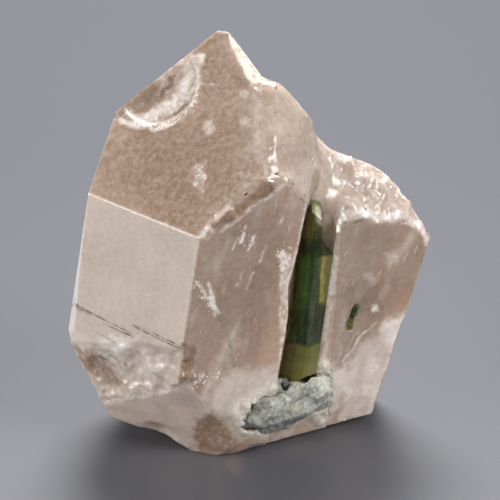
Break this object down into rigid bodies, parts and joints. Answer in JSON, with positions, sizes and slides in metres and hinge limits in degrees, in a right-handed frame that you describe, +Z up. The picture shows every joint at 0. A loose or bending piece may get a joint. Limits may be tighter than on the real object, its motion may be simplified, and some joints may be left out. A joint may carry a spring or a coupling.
{
  "type": "smoky quartz specimen with green tourmaline",
  "caption": "Smoky quartz specimen, intergrown crystals standing on a broken base, with a green tourmaline prism and pale mica set in its front.",
  "frame": {"origin": "middle of the bounding box, on the flat broken base that the specimen stands on", "axes": "+Z up, close to the long axis of the big crystal, -Y towards the front that shows the tourmaline, +X to the right seen from the front"},
  "size_m": [0.0734, 0.0439, 0.0812],
  "materials": {
    "smoky_quartz": "natural crystal faces, clear to frosted",
    "green_tourmaline": "glossy, finely striated",
    "mica_matrix": "granular, matt with small glints"
  },
  "bodies": {
    "root": {"quartz": "smoky_quartz", "green_tourmaline": "green_tourmaline", "mica_matrix": "mica_matrix", "tourmaline_needle": "green_tourmaline"}
  },
  "joints": []
}
